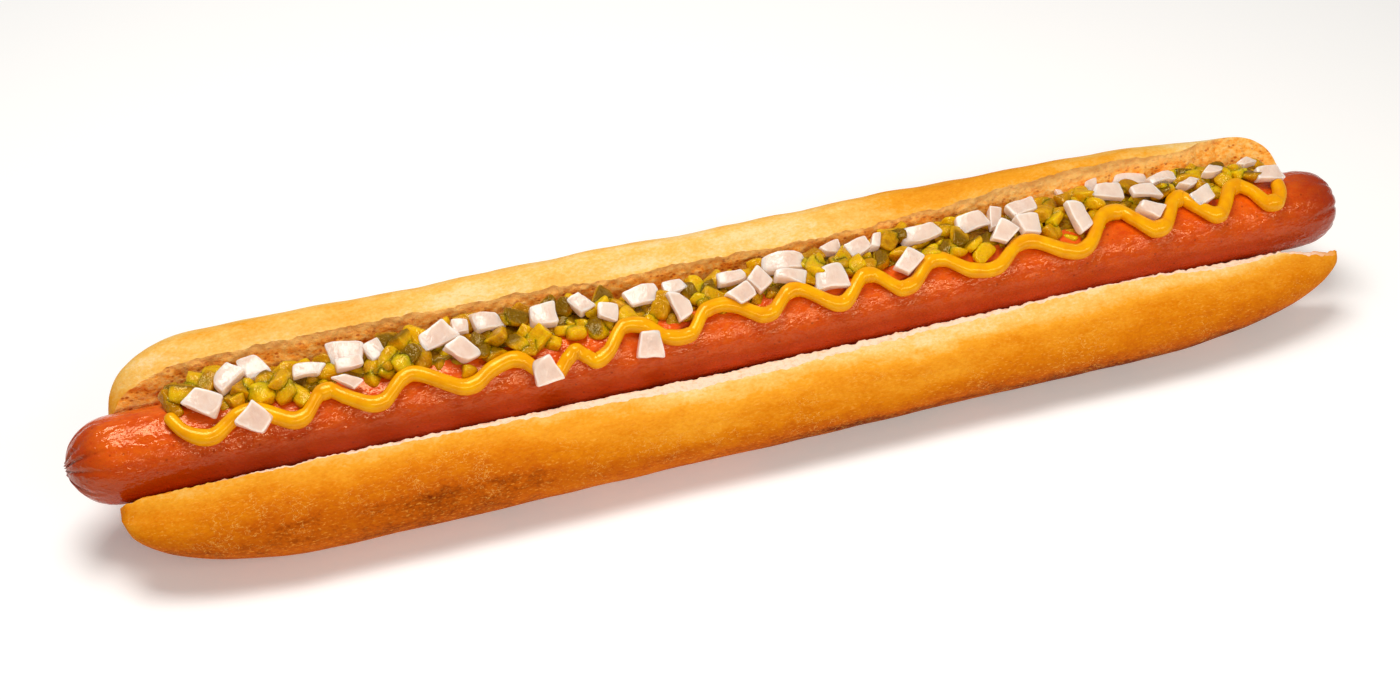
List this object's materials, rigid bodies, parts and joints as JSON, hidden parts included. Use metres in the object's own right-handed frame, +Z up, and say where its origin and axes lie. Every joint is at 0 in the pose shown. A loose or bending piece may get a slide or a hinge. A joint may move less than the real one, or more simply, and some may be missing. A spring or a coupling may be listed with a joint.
{
  "type": "hot dog",
  "caption": "Long hot dog: sausage in a split bun, topped with a zigzag of mustard, pickle relish and diced onion, with the sausage's ends standing out.",
  "frame": {"origin": "on the resting plane, straight under the sausage's axis and midway along the sausage", "axes": "+X along the sausage, +Y towards the high far half of the bun, +Z up"},
  "size_m": [0.3006, 0.0554, 0.0374],
  "materials": {
    "bread_crust": "soft golden crust, pale crumb at the cut",
    "sausage_skin": "moist wrinkled skin",
    "mustard": "smooth and glossy",
    "relish": "wet chopped pickle",
    "onion": "wet and slightly translucent"
  },
  "bodies": {
    "root": {"bun": "bread_crust", "sausage": "sausage_skin", "mustard": "mustard", "relish_and_onion": "relish", "onion_die_1": "onion", "onion_die_2": "onion", "onion_die_3": "onion"}
  },
  "joints": []
}
